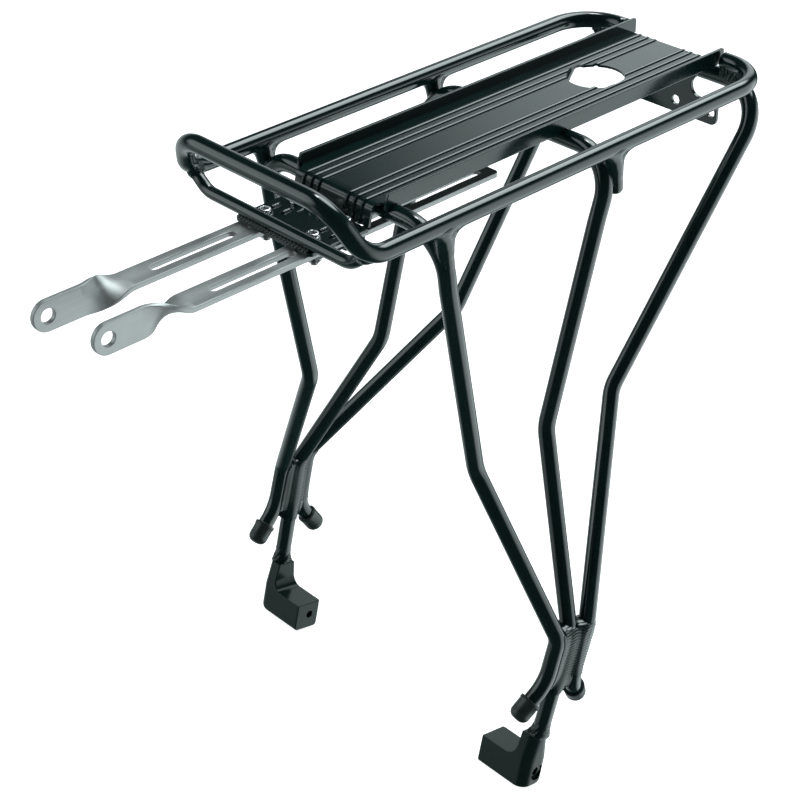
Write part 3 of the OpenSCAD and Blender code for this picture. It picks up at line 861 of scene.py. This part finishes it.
# ---------------------------------------------------------------- welds
rear_x, rear_z = REAR_BAR
cross_x, cross_z = CROSS_BAR
for side, s in SIDES.items():
    def one(p):
        return sided([p], s)[0]

    rail_p, front_p, mid_p, rear_p = sided(RAIL, s), sided(FRONT, s), sided(MID, s), sided(REAR, s)
    # the three legs, where they meet above the foot
    joint = one((20, 121, 76))
    f_front = near_field(front_p, FRONT_R[1:], TUBE_R, joint, 42)
    f_mid = near_field(mid_p, MID_R[1:], TUBE_R, joint, 42)
    f_rear = near_field(rear_p, REAR_R[1:], TUBE_R, joint, 42)
    weld(side + "_leg_weld_middle", [f_mid, f_front, f_rear], one((26.7, 120.1, 98)), one((13.9, 118.6, 53)),
         9.5, 9.5, ripple=0.46, pitch=1.85, rows=230, segs=90, fat=0.6, replaced=(side + "_leg_welds",),
         face=(0.25, s, 0))
    weld(side + "_leg_weld_rear", [f_rear, f_mid], one((37.3, 123.6, 97)), one((28.1, 122.2, 61)), 9.5, 9.0,
         ripple=0.46, pitch=1.85, rows=190, segs=90, fat=0.55, face=(-0.1, s, 0))
    weld(side + "_leg_weld_front", [f_front, f_mid], one((20.6, 120.9, 97)), one((9.6, 119.7, 61.5)), 9.5, 7.0,
         ripple=0.42, pitch=1.85, rows=190, segs=80, fat=0.5, face=(0.25, s, 0))
    # rail saddles
    for tag, path, pr in (("front", front_p, FRONT_R), ("middle", mid_p, MID_R)):
        x = BAR_X[tag]
        rail_f = near_field(rail_p, RAIL_R[1:], TUBE_R, one((x, 71, 357)), 45)
        leg_f = near_field([one((x, 0, path[0][2]))] + list(path), pr, TUBE_R, one((x, 64, 348)), 45)
        post_f = near_field([one((x + 3, 70, 328)), one((x, 70.4, 355))], [], 4.6, one((x, 70, 345)), 60)
        flares = [near_field([one((x + 1.6, 70, 341)), one((x + d, 71, 354))], [], 1.7, one((x, 70, 345)), 60)
                  for d in (-5.5, 9)]
        weld(side + "_rail_weld_" + tag, [rail_f, (leg_f, post_f)] + flares, one((x, 70.6, 357)),
             one((x + 2.4, 69.6, 329)), 4.5, 14.0, ripple=0.05, pitch=1.5, rows=130, segs=96, crinkle=0.03,
             replaced=((side + "_rail_welds",) if tag == "front" else ()))
    # rear corner: the rail's stub on the rear bar
    rail_f = near_field(rail_p, RAIL_R[1:], TUBE_R, one((rear_x, 48, 357)), 45)
    rear_f = near_field([one((rear_x, 0, rear_z))] + list(rear_p), REAR_R, TUBE_R, one((rear_x, 48, 347)), 45)
    weld(side + "_corner_weld", [rail_f, rear_f], one((rear_x, 38.5, 351.95)), one((235, 64, 351.2)), 8.0, 5.6,
         ripple=0.42, pitch=2.4, rows=130, crinkle=0.22, fat=0.3)
    # cross tube's end under the loop's front bend
    loop_f = near_field(rail_p, RAIL_R[1:], TUBE_R, one((cross_x, 69, 359)), 45)
    cross_f = near_field([one((cross_x, 0, cross_z))] + list(sided(CROSS, s)), CROSS_R, CROSS_TUBE_R,
                         one((cross_x, 66, 356)), 45)
    weld(side + "_cross_end_weld", [cross_f, loop_f], one((cross_x, 57.5, 349.2)), one((-77.4, 68.5, 357.4)),
         4.5, 6.5, ripple=0.12, pitch=1.6, rows=90, crinkle=0.1, replaced=(("front_welds",) if s > 0 else ()))
    # middle leg's end on the foot
    tilt = math.radians(FOOT_LEAN)
    rot = ((math.cos(tilt), 0, math.sin(tilt)), (0, 1, 0), (-math.sin(tilt), 0, math.cos(tilt)))
    foot_c = one((math.cos(tilt) * -1.7 + math.sin(tilt) * 15, 115.9, math.sin(tilt) * 1.7 + math.cos(tilt) * 15))
    foot_f = box_field(foot_c, (2.6, 2.2, 7.9), rot, soft=3.1)
    strut_f = near_field(mid_p, MID_R[1:], TUBE_R, one((8, 118, 32)), 40)
    weld(side + "_foot_weld_skin", [strut_f, foot_f], one((8.6, 118.0, 34.6)), one((5.2, 117.3, 23.6)), 7.0, 10.0,
         crinkle=0.3, fat=0.12, rows=80, segs=96, replaced=(side + "_foot_weld",))

# cross tube on the bracket plate
cross_line = near_field(whole(CROSS), full_radii(CROSS_R), CROSS_TUBE_R, (cross_x, 0, cross_z), 200)
plate_f = box_field((-61.1, 0, PLATE_Z), (19.9, 30, PLATE_T / 2))
for tag, x in (("front", -80.2), ("rear", -73.8)):
    weld("bracket_weld_" + tag, [cross_line, plate_f], (x, -29, 345.7), (x, 29, 345.7), 3.5, 2.0, ripple=0.4,
         pitch=2.6, rows=240, segs=40, chevron=0.2)

# tack beads beside the front bolts
for side, s in SIDES.items():
    for k, off in enumerate((-4.4, 4.4)):
        y = s * ARM_Y + off
        bead_f = near_field([(-62, y, 345.1), (-54.5, y, 345.1)], [], 1.15, (-62, s * ARM_Y, 345), 40)
        weld("%s_tack_%d" % (side, k), [plate_f, bead_f], (-62, y, 345.0), (-54.5, y, 345.0), 1.8, 2.4,
             ripple=0.1, pitch=1.5, rows=60, segs=32, chevron=0.2)

# deck on the leg bars, seen from below
floor_f = box_field((97, 0, 356.2), (135, DECK_HALF, 0.72))
replaced = ("deck_welds",)
for x in BAR_X.values():
    bar_f = near_field([(x, -60, BAR_Z), (x, 60, BAR_Z)], [], TUBE_R, (x, 0, BAR_Z), 200)
    for off in (-4.2, 4.2):
        for s in (-1, 1):
            weld("deck_weld_%d_%d_%d" % (x, off, s), [bar_f, floor_f], (x + off, s * 8, 354.4),
                 (x + off, s * 28, 354.4), 4.0, 2.0, ripple=0.25, pitch=1.8, rows=70, segs=32, replaced=replaced)
            replaced = ()

# lamp bracket on the rear bar
bar_f = near_field([(rear_x, -60, rear_z), (rear_x, 60, rear_z)], [], TUBE_R, (rear_x, 0, rear_z), 200)
lamp_f = box_field((LAMP_X, 0, 340), (LAMP_T / 2, 14, 9))
weld("light_bracket_weld_skin", [bar_f, lamp_f], (241.2, -13.5, 342.6), (241.2, 13.5, 342.6), 4.0, 2.2,
     ripple=0.25, pitch=1.8, rows=90, segs=32, replaced=("light_bracket_weld",))

# ---------------------------------------------------------------- floor, light and camera
floor_z = cad_box[0][2] - 0.0004
bm = bmesh.new()
bmesh.ops.create_grid(bm, x_segments=8, y_segments=8, size=6.0, matrix=Matrix.Translation((0, 0, floor_z)))
me = bpy.data.meshes.new("floor")
bm.to_mesh(me)
bm.free()
floor = bpy.data.objects.new("floor", me)
bpy.context.scene.collection.objects.link(floor)
m, n, l = new_material("floor_paper")
out = n.new("ShaderNodeOutputMaterial")
b = n.new("ShaderNodeBsdfPrincipled")
b.inputs["Base Color"].default_value = (0.5, 0.5, 0.5, 1)
b.inputs["Roughness"].default_value = 0.9
b.inputs["Specular IOR Level"].default_value = 0.1
b.inputs["Emission Color"].default_value = (1, 1, 1, 1)
b.inputs["Emission Strength"].default_value = 0.93
l.new(b.outputs[0], out.inputs[0])
me.materials.append(m)
floor.visible_glossy = False
floor.visible_shadow = False

# soft boxes round the object, as (direction, full inside, gone outside, strength), angles in degrees
PANELS = [
    ((0.571, 0.09, 0.82), 14, 25, 8.0),
    ((0.720, -0.604, -0.342), 27, 50, 2.5),
    ((0.3, 0.78, -0.55), 20, 55, 0.9),
    ((-0.77, 0.6, -0.2), 9, 27, 0.85),
    ((-0.668, 0.623, 0.407), 14, 33, 2.2),
    ((0.824, 0.476, 0.309), 5, 21, 1.9),
]
world = bpy.data.worlds.new("studio")
bpy.context.scene.world = world
world.use_nodes = True
wn, wl = world.node_tree.nodes, world.node_tree.links
wn.clear()
w_out = wn.new("ShaderNodeOutputWorld")
w_bg = wn.new("ShaderNodeBackground")
w_tc = wn.new("ShaderNodeTexCoord")
total = None
for direction, inner, outer, power in PANELS:
    dot = wn.new("ShaderNodeVectorMath")
    dot.operation = "DOT_PRODUCT"
    dot.inputs[1].default_value = Vector(direction).normalized()
    wl.new(w_tc.outputs["Generated"], dot.inputs[0])
    fall = wn.new("ShaderNodeMapRange")
    fall.interpolation_type = "SMOOTHSTEP"
    fall.inputs["From Min"].default_value = math.cos(math.radians(outer))
    fall.inputs["From Max"].default_value = math.cos(math.radians(inner))
    fall.inputs["To Min"].default_value = 0.0
    fall.inputs["To Max"].default_value = power
    wl.new(dot.outputs["Value"], fall.inputs["Value"])
    if total is None:
        total = fall.outputs["Result"]
    else:
        plus = wn.new("ShaderNodeMath")
        plus.operation = "ADD"
        wl.new(total, plus.inputs[0])
        wl.new(fall.outputs["Result"], plus.inputs[1])
        total = plus.outputs[0]
base = wn.new("ShaderNodeMath")
base.operation = "ADD"
base.inputs[1].default_value = 0.035
wl.new(total, base.inputs[0])
w_bg.inputs["Color"].default_value = (0.885, 1.0, 1.0, 1)
wl.new(base.outputs[0], w_bg.inputs["Strength"])
wl.new(w_bg.outputs[0], w_out.inputs[0])

lamp_data = bpy.data.lights.new("key_disc", "AREA")
lamp_data.shape = "DISK"
lamp_data.size = 0.56
lamp_data.energy = 24.0
key = bpy.data.objects.new("key_disc", lamp_data)
bpy.context.scene.collection.objects.link(key)
toward = Vector((0.3, 0.3, 0.9)).normalized()
key.location = toward * 4.0 + Vector((0.0, 0.0, 0.3))
key.rotation_euler = toward.to_track_quat("Z", "Y").to_euler()

cam_data = bpy.data.cameras.new("camera")
cam = bpy.data.objects.new("camera", cam_data)
bpy.context.scene.collection.objects.link(cam)
right = Vector((0.72731, -0.68617, -0.01392))
down = Vector((-0.38075, -0.38653, -0.84002))
ahead = Vector((0.57101, 0.61625, -0.54238))
eye = Vector((-0.61428, -0.67028, 0.79461))
cam.matrix_world = Matrix((
    (right.x, -down.x, -ahead.x, eye.x),
    (right.y, -down.y, -ahead.y, eye.y),
    (right.z, -down.z, -ahead.z, eye.z),
    (0, 0, 0, 1),
))
cam_data.sensor_width = 36.0
cam_data.lens = 84.7
cam_data.clip_end = 50
bpy.context.scene.camera = cam
bpy.context.scene.view_settings.view_transform = "Standard"

bpy.context.view_layer.update()
